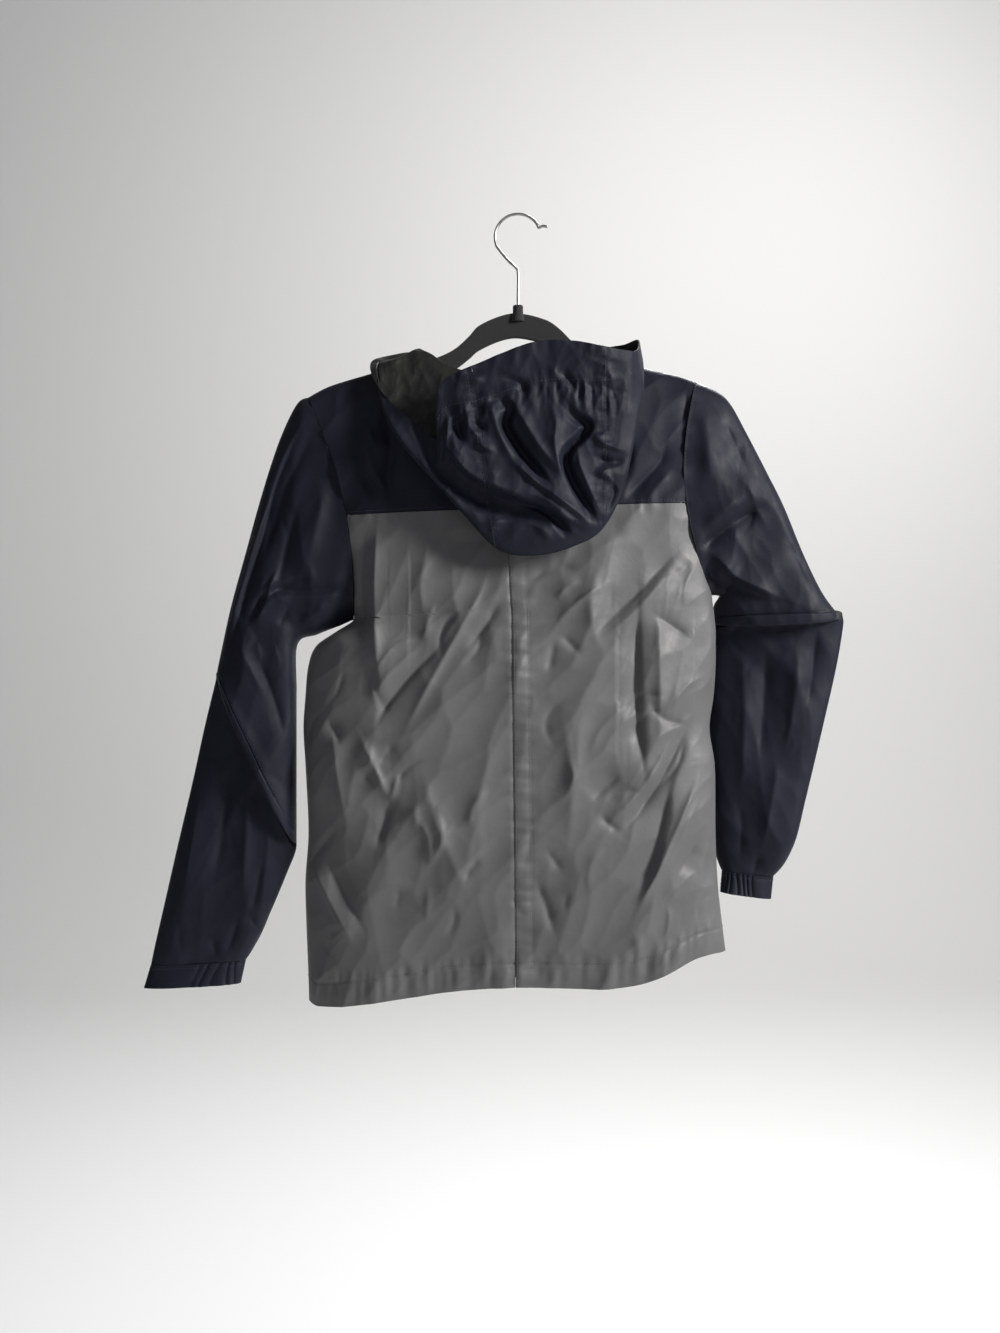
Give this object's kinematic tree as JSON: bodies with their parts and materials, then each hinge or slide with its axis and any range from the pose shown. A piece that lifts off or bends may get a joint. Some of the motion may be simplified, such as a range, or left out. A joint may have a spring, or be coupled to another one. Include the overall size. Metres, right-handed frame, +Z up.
{
  "type": "rain jacket on a hanger",
  "caption": "Hooded rain jacket with navy yoke and sleeves and a grey body, hung on a slim black hanger with a wire hook.",
  "frame": {"origin": "underside of the hook's top, where a nail or rail carries it", "axes": "+Z up along the hook's stem; -Y is the way the jacket's back and hood face, +Y its zipped front; -X is the wearer's left"},
  "size_m": [0.6993, 0.1043, 0.79],
  "materials": {
    "navy_nylon": "coated nylon with a soft sheen",
    "grey_nylon": "coated nylon with a soft sheen",
    "zip_tape": "woven tape",
    "zip_plastic": "moulded",
    "slider_metal": "satin dark coat",
    "hanger_black": "flocked matt",
    "hook_steel": "drawn wire"
  },
  "bodies": {
    "root": {"back_yoke": "navy_nylon", "front_yoke_left": "navy_nylon", "front_yoke_right": "navy_nylon", "back_panel_left": "grey_nylon", "back_panel_right": "grey_nylon", "front_panel_left": "grey_nylon", "front_panel_right": "grey_nylon", "sleeve_left": "navy_nylon", "sleeve_right": "navy_nylon", "cuff_left": "navy_nylon", "cuff_right": "navy_nylon", "hood_side_left": "navy_nylon", "hood_centre": "navy_nylon", "hood_side_right": "navy_nylon", "zip_tape_left": "zip_tape", "zip_tape_right": "zip_tape", "zip_teeth": "zip_plastic", "zip_slider": "slider_metal", "hanger": "hanger_black", "hook": "hook_steel"},
    "zip_pull": {"pull_tab": "slider_metal"}
  },
  "joints": [
    {"name": "pull_tab_swing", "type": "hinge", "parent": "root", "child": "zip_pull", "pos_m": [-0.009, 0.01731, -0.22776], "axis": [1, 0, 0], "range_deg": [0, 150]}
  ]
}
